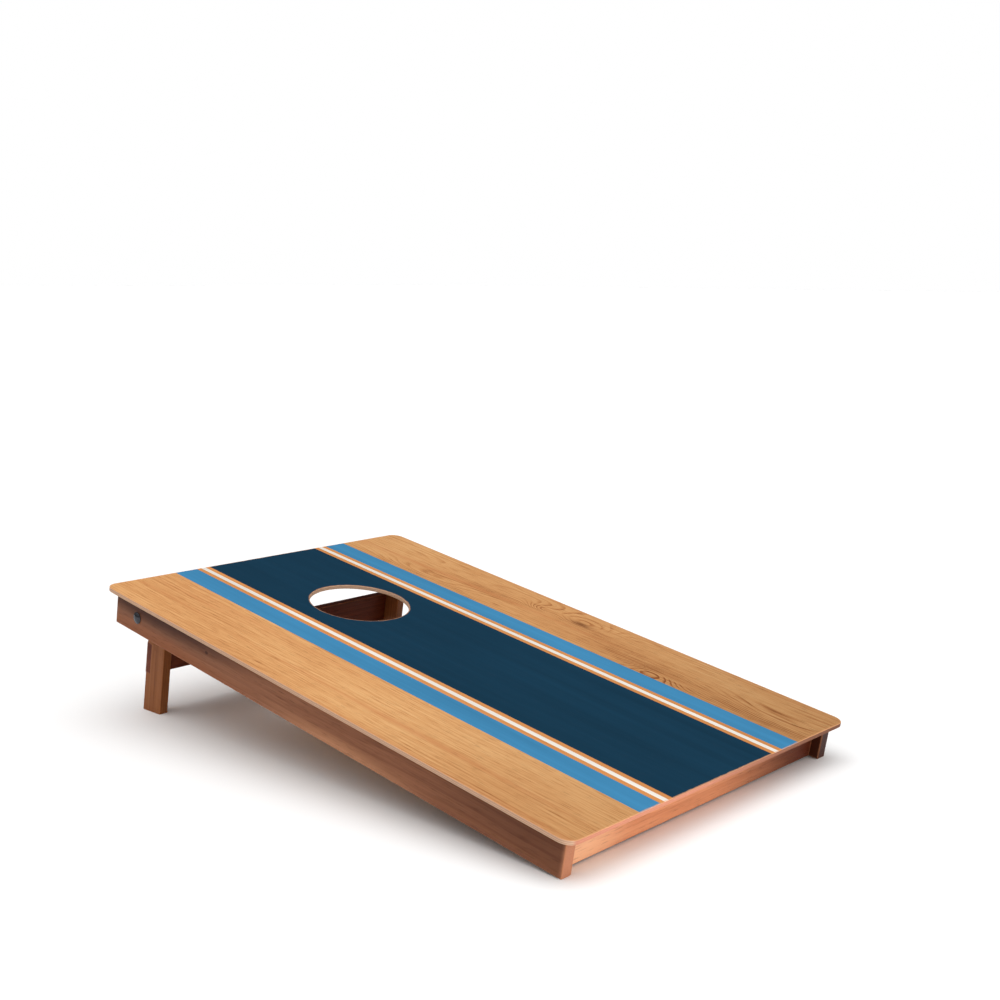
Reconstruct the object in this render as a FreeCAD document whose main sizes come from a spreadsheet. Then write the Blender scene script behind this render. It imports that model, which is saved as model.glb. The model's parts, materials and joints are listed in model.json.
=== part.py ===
import FreeCAD, Part

import math
import os

import Sketcher

# Folding cornhole board, in millimetres, standing as it is played.
# World frame: +X across the board, +Y from the low front end to the raised hole end, +Z up.
# The origin is on the ground, under the middle of the board.
#
# Every piece is drawn in the board's own frame and then tilted. There x runs across and y along
# the board, both from its middle, and z is zero where the deck sits on the frame.

DIMENSIONS = {
    # deck panel
    "deck_width": 600,
    "deck_length": 900,
    "deck_thickness": 6,
    "deck_corner": 18,
    "deck_ease": 0.8,
    "hole_diameter": 152.4,
    "hole_from_rear": 234,
    # frame under the deck
    "overhang": 14,
    "rail_thickness": 18,
    "rail_depth": 50,
    "rail_ease": 1.6,
    "end_rail_setback": 14,
    # corner dowels
    "dowel_diameter": 8,
    "dowel_length": 32,
    "dowel_in_side_rail": 11,
    "dowel_offset": 12,
    # blocks that hold the legs away from the side rails
    "block_thickness": 16,
    "block_length": 60,
    "block_depth": 48,
    "block_ease": 1,
    # legs and their crossbar
    "tilt": 9.3,
    "leg_width": 42,
    "leg_thickness": 15,
    "leg_ease": 1.6,
    "leg_side_gap": 0.5,
    "leg_stop_gap": 0.5,
    "pivot_depth": 25.5,
    "crossbar_top": 77,
    "crossbar_height": 49,
    "crossbar_thickness": 12,
    "crossbar_ease": 0.8,
    # pivot hardware
    "bolt_diameter": 8,
    "bolt_length": 64,
    "bolt_head_diameter": 17.5,
    "bolt_head_height": 3.8,
    "bolt_neck_width": 8,
    "bolt_neck_length": 4.5,
    "bolt_end_bevel": 0.8,
    "leg_bore_clearance": 0.06,
    "washer_diameter": 17,
    "washer_thickness": 1.6,
    "washer_gap": 0.3,
    "nut_across_flats": 13,
    "nut_height": 5.6,
    "nut_collar_height": 2.4,
    "nut_collar_diameter": 11.4,
    "nut_insert_diameter": 9.8,
    "nut_insert_height": 1.9,
    # countersunk wood screws
    "screw_diameter": 4,
    "screw_length": 30,
    "screw_head_diameter": 7.6,
    "screw_head_height": 2.3,
    "screw_point": 5,
    "screw_recess": 1.4,
    "block_screw_margin": 9,
    "crossbar_screw_margin": 12,
}

doc = FreeCAD.newDocument("cornhole_board")
sheet = doc.addObject("Spreadsheet::Sheet", "dims")
for row, (alias, value) in enumerate(DIMENSIONS.items(), start=1):
    sheet.set(f"A{row}", alias)
    sheet.set(f"B{row}", str(value))
    sheet.setAlias(f"B{row}", alias)
doc.recompute()

# Lengths that several pieces share, worked out from the sheet.
SIDE_OUT = "(dims.deck_width / 2 - dims.overhang)"
SIDE_IN = f"({SIDE_OUT} - dims.rail_thickness)"
FRAME_END = "(dims.deck_length / 2 - dims.overhang)"
END_RAIL_OUT = f"({FRAME_END} - dims.end_rail_setback)"
END_RAIL_IN = f"({END_RAIL_OUT} - dims.rail_thickness)"
BLOCK_IN = f"({SIDE_IN} - dims.block_thickness)"
LEG_OUT = f"({BLOCK_IN} - dims.washer_thickness - dims.leg_side_gap)"
LEG_IN = f"({LEG_OUT} - dims.leg_thickness)"
LEG_REAR = f"({END_RAIL_IN} - dims.leg_stop_gap)"
LEG_FRONT = f"({LEG_REAR} - dims.leg_width)"
PIVOT_Y = f"({LEG_REAR} - dims.leg_width / 2)"
PIVOT_Z = "(-dims.pivot_depth)"
CROSSBAR_FRONT = f"({LEG_REAR} - dims.crossbar_thickness)"
CROSSBAR_TOP = "(-dims.crossbar_top)"
CROSSBAR_BOTTOM = "(-dims.crossbar_top - dims.crossbar_height)"
RAIL_BOTTOM = "(-dims.rail_depth)"
CLAMP_WASHER_OUT = f"({LEG_IN} - dims.washer_gap)"
NUT_OUT = f"({CLAMP_WASHER_OUT} - dims.washer_thickness)"
TILT = "dims.tilt * 1 deg"

X_AXIS = FreeCAD.Vector(1, 0, 0)
Y_AXIS = FreeCAD.Vector(0, 1, 0)
Z_AXIS = FreeCAD.Vector(0, 0, 1)
SIDES = ((-1, "left"), (1, "right"))
ENDS = ((-1, "front"), (1, "rear"))

# The ground touches the rounded lower front corners of the side rails and the leg feet.
# GROUND is its signed distance from the board frame's origin, along the upward normal.
GROUND = (
    f"(-{FRAME_END} * sin({TILT}) - dims.rail_depth * cos({TILT})"
    f" + dims.rail_ease * (sin({TILT}) + cos({TILT}) - 1))"
)
FOOT_REAR = f"({GROUND} / cos({TILT}) - {LEG_REAR} * tan({TILT}))"
FOOT_FRONT = f"({GROUND} / cos({TILT}) - {LEG_FRONT} * tan({TILT}))"


def value(expression):
    """The number that an expression on the sheet comes to."""
    result = sheet.evalExpression(expression)
    return float(getattr(result, "Value", result))


def board_placement():
    """Tilts the board's own frame so that it stands on the ground with its deck centred."""
    tilt = math.radians(value("dims.tilt"))
    half_thickness = value("dims.deck_thickness") / 2
    shift = FreeCAD.Vector(0, half_thickness * math.sin(tilt), -value(GROUND))
    return FreeCAD.Placement(shift, FreeCAD.Rotation(FreeCAD.Vector(1, 0, 0), math.degrees(tilt)))


BOARD = board_placement()
finished = []


def finish(piece, label):
    """Names a sub-part, tilts it with the board and keeps it for export."""
    piece.Label = label
    piece.Placement = BOARD
    finished.append(piece)
    return piece


# ---------------------------------------------------------------- sketch and feature helpers

def new_body(name):
    return doc.addObject("PartDesign::Body", f"{name}_body")


def new_sketch(body, name, plane="YZ_Plane", offset="0"):
    """An empty sketch on one of the body's origin planes, moved along the plane's normal."""
    sketch = body.newObject("Sketcher::SketchObject", name)
    support = next(item for item in body.Origin.OriginFeatures if item.Role == plane)
    sketch.AttachmentSupport = [(support, "")]
    sketch.MapMode = "FlatFace"
    sketch.setExpression("AttachmentOffset.Base.z", offset)
    return sketch


def pin_point(sketch, geometry, position, across, up):
    """Fixes a sketch point at two sheet expressions, measured from the sketch's origin."""
    for kind, axis, expression in (("DistanceX", -2, across), ("DistanceY", -1, up)):
        if abs(value(expression)) < 1e-9:
            sketch.addConstraint(Sketcher.Constraint("PointOnObject", geometry, position, axis))
            continue
        constraint = Sketcher.Constraint(kind, -1, 1, geometry, position, value(expression))
        index = sketch.addConstraint(constraint)
        sketch.setExpression(f"Constraints[{index}]", expression)


def add_outline(sketch, corners):
    """A closed outline of straight lines through corners given as pairs of expressions."""
    points = [FreeCAD.Vector(value(across), value(up), 0) for across, up in corners]
    first = sketch.GeometryCount
    for start, end in zip(points, points[1:] + points[:1]):
        sketch.addGeometry(Part.LineSegment(start, end), False)
    for index in range(len(corners)):
        following = first + (index + 1) % len(corners)
        sketch.addConstraint(Sketcher.Constraint("Coincident", first + index, 2, following, 1))
    for index, (across, up) in enumerate(corners):
        pin_point(sketch, first + index, 1, across, up)


def add_rectangle(sketch, left, bottom, right, top):
    add_outline(sketch, [(left, bottom), (right, bottom), (right, top), (left, top)])


def add_circle(sketch, across, up, diameter):
    centre = FreeCAD.Vector(value(across), value(up), 0)
    circle = Part.Circle(centre, Z_AXIS, value(diameter) / 2)
    index = sketch.addGeometry(circle, False)
    pin_point(sketch, index, 3, across, up)
    size = sketch.addConstraint(Sketcher.Constraint("Diameter", index, value(diameter)))
    sketch.setExpression(f"Constraints[{size}]", diameter)


def pad(body, sketch, length, both_sides=False):
    feature = body.newObject("PartDesign::Pad", f"{sketch.Name}_pad")
    feature.Profile = sketch
    feature.setExpression("Length", length)
    feature.Midplane = both_sides
    doc.recompute()
    return feature


def pocket(body, sketch, depth, along_normal):
    """Cuts a sketch into the body and makes sure that it really removed wood."""
    before = body.Shape.Volume
    feature = body.newObject("PartDesign::Pocket", f"{sketch.Name}_cut")
    feature.Profile = sketch
    feature.setExpression("Length", depth)
    feature.Reversed = along_normal
    doc.recompute()
    if body.Shape.Volume > before - 1:
        raise RuntimeError(f"{feature.Name} cut nothing")
    return feature


def straight_edges(shape, direction, keep):
    """Names of the straight edges along a direction whose middle point passes a test."""
    names = []
    for index, edge in enumerate(shape.Edges, start=1):
        if edge.Curve.TypeId != "Part::GeomLine":
            continue
        if abs(abs(edge.tangentAt(edge.FirstParameter).dot(direction)) - 1) > 1e-6:
            continue
        if keep(edge.CenterOfMass):
            names.append(f"Edge{index}")
    return names


def ease(body, edge_names, radius):
    """Rounds the named edges of the body's last feature."""
    base = body.Tip
    feature = body.newObject("PartDesign::Fillet", f"{body.Name}_ease")
    feature.Base = (base, edge_names)
    feature.setExpression("Radius", radius)
    doc.recompute()
    return feature


def near(first, second):
    return abs(first - second) < 1e-4


def join(name, pieces):
    fused = doc.addObject("Part::MultiFuse", name)
    fused.Shapes = pieces
    return fused


def subtract(name, base, tool):
    cut = doc.addObject("Part::Cut", name)
    cut.Base = base
    cut.Tool = tool
    return cut


def gather(name, pieces):
    group = doc.addObject("Part::Compound", name)
    group.Links = pieces
    return group


def drilled(body, screws):
    """The body with a countersunk hole for each screw that enters it."""
    return subtract(f"{body.Name}_drilled", body, join(f"{body.Name}_drill", screws))


# ---------------------------------------------------------------- deck panel

def build_deck():
    body = new_body("deck_panel")
    outline = new_sketch(body, "deck_outline", "XY_Plane")
    add_rectangle(
        outline,
        "-dims.deck_width / 2",
        "-dims.deck_length / 2",
        "dims.deck_width / 2",
        "dims.deck_length / 2",
    )
    pad(body, outline, "dims.deck_thickness")
    ease(body, straight_edges(body.Shape, Z_AXIS, lambda point: True), "dims.deck_corner")
    bag_hole = new_sketch(body, "bag_hole", "XY_Plane")
    add_circle(bag_hole, "0", "dims.deck_length / 2 - dims.hole_from_rear", "dims.hole_diameter")
    pocket(body, bag_hole, "dims.deck_thickness", along_normal=True)

    # The panel's outline and the hole's rims are sanded, on both faces.
    level_edges = [
        f"Edge{index}"
        for index, edge in enumerate(body.Shape.Edges, start=1)
        if edge.BoundBox.ZLength < 1e-6
    ]
    ease(body, level_edges, "dims.deck_ease")
    finish(body, "deck_panel")


# ---------------------------------------------------------------- frame rails

def add_dowel_holes(body, name, side, end, start, depth, along_normal):
    """Two dowel holes, one above the other, where an end rail meets a side rail."""
    middle = f"{end} * ({END_RAIL_OUT} - dims.rail_thickness / 2)"
    holes = new_sketch(body, f"{name}_dowel_holes", "YZ_Plane", f"{side} * {start}")
    for level in ("-dims.dowel_offset", "-(dims.rail_depth - dims.dowel_offset)"):
        add_circle(holes, middle, level, "dims.dowel_diameter")
    pocket(body, holes, depth, along_normal)


def build_side_rail(name, side, screws):
    body = new_body(name)
    start = SIDE_IN if side > 0 else SIDE_OUT
    profile = new_sketch(body, f"{name}_profile", "YZ_Plane", f"{side} * {start}")
    add_rectangle(profile, f"-{FRAME_END}", RAIL_BOTTOM, FRAME_END, "0")
    pad(body, profile, "dims.rail_thickness")

    # Lower and end edges are eased. The edges under the deck stay sharp.
    outer = side * value(SIDE_OUT)
    inner = side * value(SIDE_IN)
    bottom = value(RAIL_BOTTOM)
    shape = body.Shape
    edges = straight_edges(shape, Y_AXIS, lambda point: near(point.z, bottom))
    edges += straight_edges(shape, X_AXIS, lambda point: near(point.z, bottom))
    edges += straight_edges(shape, Z_AXIS, lambda point: near(point.x, outer) or near(point.x, inner))
    ease(body, edges, "dims.rail_ease")

    for end, label in ENDS:
        add_dowel_holes(
            body, f"{name}_{label}", side, end, SIDE_IN, "dims.dowel_in_side_rail", side > 0
        )
    bolt_hole = new_sketch(body, f"{name}_bolt_hole", "YZ_Plane", f"{side} * {SIDE_IN}")
    add_circle(bolt_hole, PIVOT_Y, PIVOT_Z, "dims.bolt_diameter")
    pocket(body, bolt_hole, "dims.rail_thickness", side > 0)
    seat = new_sketch(body, f"{name}_bolt_seat", "YZ_Plane", f"{side} * {SIDE_OUT}")
    half_neck = "dims.bolt_neck_width / 2"
    add_rectangle(
        seat,
        f"{PIVOT_Y} - {half_neck}",
        f"{PIVOT_Z} - {half_neck}",
        f"{PIVOT_Y} + {half_neck}",
        f"{PIVOT_Z} + {half_neck}",
    )
    pocket(body, seat, "dims.bolt_neck_length", side < 0)
    finish(drilled(body, screws), name)


def build_end_rail(name, end):
    body = new_body(name)
    profile = new_sketch(body, f"{name}_profile")
    near_y, far_y = sorted((f"{end} * {END_RAIL_OUT}", f"{end} * {END_RAIL_IN}"), key=value)
    add_rectangle(profile, near_y, RAIL_BOTTOM, far_y, "0")
    pad(body, profile, f"2 * {SIDE_IN}", both_sides=True)
    bottom = value(RAIL_BOTTOM)
    ease(body, straight_edges(body.Shape, X_AXIS, lambda point: near(point.z, bottom)), "dims.rail_ease")
    for side, label in SIDES:
        depth = "dims.dowel_length - dims.dowel_in_side_rail"
        add_dowel_holes(body, f"{name}_{label}", side, end, SIDE_IN, depth, side < 0)
    finish(body, name)


def build_leg_block(name, side, screws):
    """The spacer glued and screwed inside a side rail, which the leg turns beside."""
    body = new_body(name)
    start = BLOCK_IN if side > 0 else SIDE_IN
    front = f"{END_RAIL_IN} - dims.block_length"
    profile = new_sketch(body, f"{name}_profile", "YZ_Plane", f"{side} * {start}")
    add_rectangle(profile, front, "-dims.block_depth", END_RAIL_IN, "0")
    pad(body, profile, "dims.block_thickness")
    inner = side * value(BLOCK_IN)
    bottom = -value("dims.block_depth")
    edges = straight_edges(body.Shape, Y_AXIS, lambda point: near(point.x, inner) and near(point.z, bottom))
    edges += straight_edges(
        body.Shape, Z_AXIS, lambda point: near(point.x, inner) and near(point.y, value(front))
    )
    ease(body, edges, "dims.block_ease")

    bolt_hole = new_sketch(body, f"{name}_bolt_hole", "YZ_Plane", f"{side} * {BLOCK_IN}")
    add_circle(bolt_hole, PIVOT_Y, PIVOT_Z, "dims.bolt_diameter")
    pocket(body, bolt_hole, "dims.block_thickness", side > 0)
    finish(drilled(body, screws), name)


# ---------------------------------------------------------------- legs and crossbar

def build_leg(name, side, screws):
    """A leg with a round top about the pivot, a level foot and a notch for the crossbar."""
    body = new_body(name)
    start = LEG_IN if side > 0 else LEG_OUT
    profile = new_sketch(body, f"{name}_profile", "YZ_Plane", f"{side} * {start}")
    rear_y, front_y = value(LEG_REAR), value(LEG_FRONT)
    pivot = FreeCAD.Vector(value(PIVOT_Y), value(PIVOT_Z), 0)
    rear_top = FreeCAD.Vector(rear_y, pivot.y, 0)
    front_top = FreeCAD.Vector(front_y, pivot.y, 0)
    rear_foot = FreeCAD.Vector(rear_y, value(FOOT_REAR), 0)
    front_foot = FreeCAD.Vector(front_y, value(FOOT_FRONT), 0)
    round_top = Part.Circle(pivot, Z_AXIS, value("dims.leg_width") / 2)
    profile.addGeometry(Part.ArcOfCircle(round_top, 0, math.pi), False)
    profile.addGeometry(Part.LineSegment(front_top, front_foot), False)
    profile.addGeometry(Part.LineSegment(front_foot, rear_foot), False)
    profile.addGeometry(Part.LineSegment(rear_foot, rear_top), False)
    for first, second in ((0, 1), (1, 2), (2, 3)):
        profile.addConstraint(Sketcher.Constraint("Coincident", first, 2, second, 1))
    profile.addConstraint(Sketcher.Constraint("Coincident", 3, 2, 0, 1))
    pin_point(profile, 0, 3, PIVOT_Y, PIVOT_Z)
    pin_point(profile, 1, 1, LEG_FRONT, PIVOT_Z)
    pin_point(profile, 2, 1, LEG_FRONT, FOOT_FRONT)
    pin_point(profile, 3, 1, LEG_REAR, FOOT_REAR)
    profile.addConstraint(Sketcher.Constraint("Horizontal", 1, 1, 3, 2))
    pad(body, profile, "dims.leg_thickness")

    ease(body, straight_edges(body.Shape, Z_AXIS, lambda point: True), "dims.leg_ease")

    notch = new_sketch(body, f"{name}_notch", "YZ_Plane", f"{side} * {start}")
    add_rectangle(notch, CROSSBAR_FRONT, CROSSBAR_BOTTOM, f"{LEG_REAR} + 1", CROSSBAR_TOP)
    pocket(body, notch, "dims.leg_thickness", along_normal=True)
    bore = new_sketch(body, f"{name}_bore", "YZ_Plane", f"{side} * {start}")
    add_circle(bore, PIVOT_Y, PIVOT_Z, "dims.bolt_diameter + 2 * dims.leg_bore_clearance")
    pocket(body, bore, "dims.leg_thickness", along_normal=True)
    finish(drilled(body, screws), name)


def build_crossbar(screws):
    body = new_body("leg_crossbar")
    profile = new_sketch(body, "crossbar_profile")
    add_rectangle(profile, CROSSBAR_FRONT, CROSSBAR_BOTTOM, LEG_REAR, CROSSBAR_TOP)
    pad(body, profile, f"2 * {LEG_OUT}", both_sides=True)
    ease(body, straight_edges(body.Shape, X_AXIS, lambda point: True), "dims.crossbar_ease")
    finish(drilled(body, screws), "leg_crossbar")


# ---------------------------------------------------------------- hardware

def place(piece, x, y, z, direction=None):
    """Puts a primitive at a point of the board's frame, its own z axis along a direction."""
    if direction is not None:
        piece.Placement = FreeCAD.Placement(FreeCAD.Vector(), FreeCAD.Rotation(Z_AXIS, direction))
    for axis, expression in (("x", x), ("y", y), ("z", z)):
        piece.setExpression(f"Placement.Base.{axis}", expression)
    return piece


def new_cylinder(name, diameter, length):
    cylinder = doc.addObject("Part::Cylinder", name)
    cylinder.setExpression("Radius", f"({diameter}) / 2")
    cylinder.setExpression("Height", length)
    return cylinder


def new_cone(name, first_diameter, second_diameter, length):
    cone = doc.addObject("Part::Cone", name)
    cone.setExpression("Radius1", f"({first_diameter}) / 2")
    cone.setExpression("Radius2", f"({second_diameter}) / 2")
    cone.setExpression("Height", length)
    return cone


def build_pivot_bolt(name, side):
    """A round-headed carriage bolt whose square neck keeps it from turning in the rail."""
    inward = X_AXIS * -side
    outward = X_AXIS * side
    rail_face = f"{side} * {SIDE_OUT}"
    shank = place(
        new_cylinder(f"{name}_shank", "dims.bolt_diameter", "dims.bolt_length - dims.bolt_end_bevel"),
        rail_face,
        PIVOT_Y,
        PIVOT_Z,
        inward,
    )
    tip_diameter = "dims.bolt_diameter - 2 * dims.bolt_end_bevel"
    tip = place(
        new_cone(f"{name}_tip", tip_diameter, "dims.bolt_diameter", "dims.bolt_end_bevel"),
        f"{side} * ({SIDE_OUT} - dims.bolt_length)",
        PIVOT_Y,
        PIVOT_Z,
        outward,
    )
    neck = doc.addObject("Part::Box", f"{name}_neck")
    neck.setExpression("Length", "dims.bolt_neck_length")
    neck.setExpression("Width", "dims.bolt_neck_width")
    neck.setExpression("Height", "dims.bolt_neck_width")
    neck_start = f"{SIDE_OUT} - dims.bolt_neck_length" if side > 0 else f"-{SIDE_OUT}"
    half_neck = "dims.bolt_neck_width / 2"
    place(neck, neck_start, f"{PIVOT_Y} - {half_neck}", f"{PIVOT_Z} - {half_neck}")

    # The domed head is the part of a ball that stands proud of the rail's outer face.
    rise = "dims.bolt_head_height"
    ball_radius = f"((dims.bolt_head_diameter / 2)^2 + {rise}^2) / (2 * {rise})"
    ball = doc.addObject("Part::Sphere", f"{name}_ball")
    ball.setExpression("Radius", ball_radius)
    place(ball, f"{side} * ({SIDE_OUT} + {rise} - {ball_radius})", PIVOT_Y, PIVOT_Z, outward)
    blank = new_cylinder(f"{name}_blank", "dims.bolt_head_diameter", rise)
    place(blank, rail_face, PIVOT_Y, PIVOT_Z, outward)
    head = doc.addObject("Part::Common", f"{name}_head")
    head.Base = ball
    head.Tool = blank
    finish(join(f"{name}_whole", [shank, tip, neck, head]), name)


def build_washer(name, side, outer_face):
    """A flat washer on the pivot bolt, lying inward from outer_face."""
    disc = new_cylinder(f"{name}_disc", "dims.washer_diameter", "dims.washer_thickness")
    hole = new_cylinder(f"{name}_hole", "dims.bolt_diameter", "dims.washer_thickness")
    for piece in (disc, hole):
        place(piece, f"{side} * {outer_face}", PIVOT_Y, PIVOT_Z, X_AXIS * -side)
    finish(subtract(f"{name}_ring", disc, hole), name)


def build_lock_nut(side, label):
    """A hexagon nut with a round collar, and the nylon ring in the collar that grips the bolt."""
    name = f"lock_nut_{label}"
    inward = X_AXIS * -side
    washer_face = f"{side} * {NUT_OUT}"
    corner_radius = "dims.nut_across_flats / sqrt(3)"
    whole_height = "dims.nut_height + dims.nut_collar_height"
    insert_face = f"{side} * ({NUT_OUT} - dims.nut_height - dims.nut_collar_height + dims.nut_insert_height)"

    hexagon = doc.addObject("Part::Prism", f"{name}_hexagon")
    hexagon.Polygon = 6
    hexagon.setExpression("Circumradius", corner_radius)
    hexagon.setExpression("Height", "dims.nut_height")
    # A wide cone trims the hexagon's corners at its inner end only.
    trim = new_cone(
        f"{name}_trim", f"2 * {corner_radius} + 6", f"2 * {corner_radius} - 1", "dims.nut_height"
    )
    collar = new_cylinder(f"{name}_collar", "dims.nut_collar_diameter", whole_height)
    bore = new_cylinder(f"{name}_bore", "dims.bolt_diameter", whole_height)
    for piece in (hexagon, trim, collar, bore):
        place(piece, washer_face, PIVOT_Y, PIVOT_Z, inward)
    trimmed = doc.addObject("Part::Common", f"{name}_trimmed")
    trimmed.Base = hexagon
    trimmed.Tool = trim

    seat = new_cylinder(f"{name}_seat", "dims.nut_insert_diameter", "dims.nut_insert_height")
    ring = new_cylinder(f"{name}_ring", "dims.nut_insert_diameter", "dims.nut_insert_height")
    eye = new_cylinder(f"{name}_eye", "dims.bolt_diameter", "dims.nut_insert_height")
    for piece in (seat, ring, eye):
        place(piece, insert_face, PIVOT_Y, PIVOT_Z, inward)
    solid = join(f"{name}_solid", [trimmed, collar])
    finish(subtract(f"{name}_steel", solid, join(f"{name}_cuts", [bore, seat])), name)
    finish(subtract(f"{name}_nylon", ring, eye), f"nut_insert_{label}")


def build_screw(name, x, y, z, direction):
    """One countersunk wood screw: its solid, and the same solid with its cross recess."""
    head_length = "dims.screw_head_height"
    point_start = "dims.screw_length - dims.screw_point"
    shank_length = f"{point_start} - {head_length}"
    size = "dims.screw_diameter"
    parts = (
        (new_cone(f"{name}_head", "dims.screw_head_diameter", size, head_length), "0"),
        (new_cylinder(f"{name}_shank", size, shank_length), head_length),
        (new_cone(f"{name}_point", size, "0.6", "dims.screw_point"), point_start),
        (new_cone(f"{name}_recess", size, "1.2", "dims.screw_recess"), "0"),
    )
    for piece, distance in parts:
        across = f"{x} + {direction.x} * ({distance})"
        along = f"{y} + {direction.y} * ({distance})"
        place(piece, across, along, z, direction)
    head, shank, tip, recess = (piece for piece, distance in parts)
    solid = join(f"{name}_solid", [head, shank, tip])
    return solid, subtract(name, solid, recess)


def build_block_screws(side, label):
    """Four screws through a leg block into its side rail."""
    margin = "dims.block_screw_margin"
    rows = (f"{END_RAIL_IN} - dims.block_length + {margin}", f"{END_RAIL_IN} - {margin}")
    levels = (f"-{margin}", f"-dims.block_depth + {margin}")
    screws = []
    for row, along in enumerate(rows):
        for level, height in enumerate(levels):
            name = f"block_screw_{label}_{row}{level}"
            screws.append(build_screw(name, f"{side} * {BLOCK_IN}", along, height, X_AXIS * side))
    return screws


def build_crossbar_screws(side, label):
    """Two screws through the back of the crossbar into a leg."""
    middle = f"{side} * ({LEG_OUT} + {LEG_IN}) / 2"
    margin = "dims.crossbar_screw_margin"
    levels = (f"{CROSSBAR_TOP} - {margin}", f"{CROSSBAR_BOTTOM} + {margin}")
    screws = []
    for level, height in enumerate(levels):
        name = f"crossbar_screw_{label}_{level}"
        screws.append(build_screw(name, middle, LEG_REAR, height, Y_AXIS * -1))
    return screws


def build_dowels():
    """Two dowels in each corner of the frame, from the end rails into the side rails."""
    levels = ("-dims.dowel_offset", "-dims.rail_depth + dims.dowel_offset")
    dowels = []
    for side, label in SIDES:
        for end, end_label in ENDS:
            for level, height in enumerate(levels):
                name = f"dowel_{end_label}_{label}_{level}"
                dowel = new_cylinder(name, "dims.dowel_diameter", "dims.dowel_length")
                start = f"{side} * ({SIDE_IN} + dims.dowel_in_side_rail)"
                along = f"{end} * ({END_RAIL_OUT} - dims.rail_thickness / 2)"
                dowels.append(place(dowel, start, along, height, X_AXIS * -side))
    finish(gather("dowel_set", dowels), "corner_dowels")


def check_and_export():
    """Writes every sub-part once all of them are sound."""
    doc.recompute()
    for item in doc.Objects:
        if {"Invalid", "Error"} & set(item.State):
            raise RuntimeError(f"{item.Name} failed: {item.State}")
    for piece in finished:
        if piece.Shape.isNull() or not piece.Shape.isValid():
            raise RuntimeError(f"{piece.Label} has no valid shape")
    os.makedirs("parts", exist_ok=True)
    for piece in finished:
        piece.Shape.exportStep(f"parts/{piece.Label}.step")
        print(f"{piece.Label}: {len(piece.Shape.Solids)} solid(s), {piece.Shape.Volume / 1000:.1f} cm3")


def main():
    build_deck()
    build_end_rail("front_rail", -1)
    build_end_rail("rear_rail", 1)
    build_dowels()
    block_screws = []
    crossbar_screws = []
    for side, label in SIDES:
        screws = build_block_screws(side, label)
        block_screws += screws
        solids = [solid for solid, screw in screws]
        build_side_rail(f"side_rail_{label}", side, solids)
        build_leg_block(f"leg_block_{label}", side, solids)
        build_pivot_bolt(f"pivot_bolt_{label}", side)
        build_washer(f"spacer_washer_{label}", side, BLOCK_IN)
        build_washer(f"clamp_washer_{label}", side, CLAMP_WASHER_OUT)
        build_lock_nut(side, label)
        screws = build_crossbar_screws(side, label)
        crossbar_screws += screws
        build_leg(f"leg_{label}", side, [solid for solid, screw in screws])
    build_crossbar([solid for solid, screw in crossbar_screws])
    finish(gather("block_screw_set", [screw for solid, screw in block_screws]), "block_screws")
    finish(gather("crossbar_screw_set", [screw for solid, screw in crossbar_screws]), "crossbar_screws")
    check_and_export()


main()
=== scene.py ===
"""Looks of the cornhole board: printed plywood deck, stained wood frame and plated hardware.

Lengths are in metres. The deck frame has its origin at the middle of the deck's top face:
x runs across the board, y along it towards the hole end, and z is up, square to the deck.
"""

import json
import math

import bmesh
import bpy
from mathutils import Matrix, Vector


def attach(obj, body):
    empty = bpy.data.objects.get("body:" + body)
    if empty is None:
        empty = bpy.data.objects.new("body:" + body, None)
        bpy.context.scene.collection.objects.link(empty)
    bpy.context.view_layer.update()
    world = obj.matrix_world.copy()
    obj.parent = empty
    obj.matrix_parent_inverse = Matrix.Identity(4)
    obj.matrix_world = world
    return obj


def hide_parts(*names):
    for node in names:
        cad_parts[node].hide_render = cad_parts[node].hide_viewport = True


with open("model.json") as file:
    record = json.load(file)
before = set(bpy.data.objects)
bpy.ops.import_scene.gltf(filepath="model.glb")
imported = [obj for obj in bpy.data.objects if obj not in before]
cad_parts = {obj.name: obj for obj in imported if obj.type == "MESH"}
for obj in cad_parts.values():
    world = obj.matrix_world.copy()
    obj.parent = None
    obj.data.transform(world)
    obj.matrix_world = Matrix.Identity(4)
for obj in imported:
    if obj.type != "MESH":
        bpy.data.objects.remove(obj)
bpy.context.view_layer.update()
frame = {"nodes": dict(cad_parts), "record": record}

# ---------------------------------------------------------------- the deck frame

MOUNTS = {mount["name"]: mount for mount in frame["record"]["mounts"]}
DECK_MIDDLE = Vector(MOUNTS["play_surface"]["pos_m"])
DECK_UP = Vector(MOUNTS["play_surface"]["axis"])
TILT = math.atan2(-DECK_UP.y, DECK_UP.z)
DECK_TO_WORLD = Matrix.Translation(DECK_MIDDLE) @ Matrix.Rotation(TILT, 4, "X")
WORLD_TO_DECK = DECK_TO_WORLD.inverted()

X_AXIS = Vector((1, 0, 0))
Y_AXIS = Vector((0, 1, 0))
Z_AXIS = Vector((0, 0, 1))

# Vertices closer together than this are one point.
SAME_POINT = 1e-6


def box_of(points):
    """Lowest and highest corner of some points."""
    low = Vector(min(point[i] for point in points) for i in range(3))
    high = Vector(max(point[i] for point in points) for i in range(3))
    return low, high


def deck_box(node):
    """Lowest and highest corner of a CAD node, in the deck frame."""
    return box_of([WORLD_TO_DECK @ vertex.co for vertex in frame["nodes"][node].data.vertices])


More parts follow.
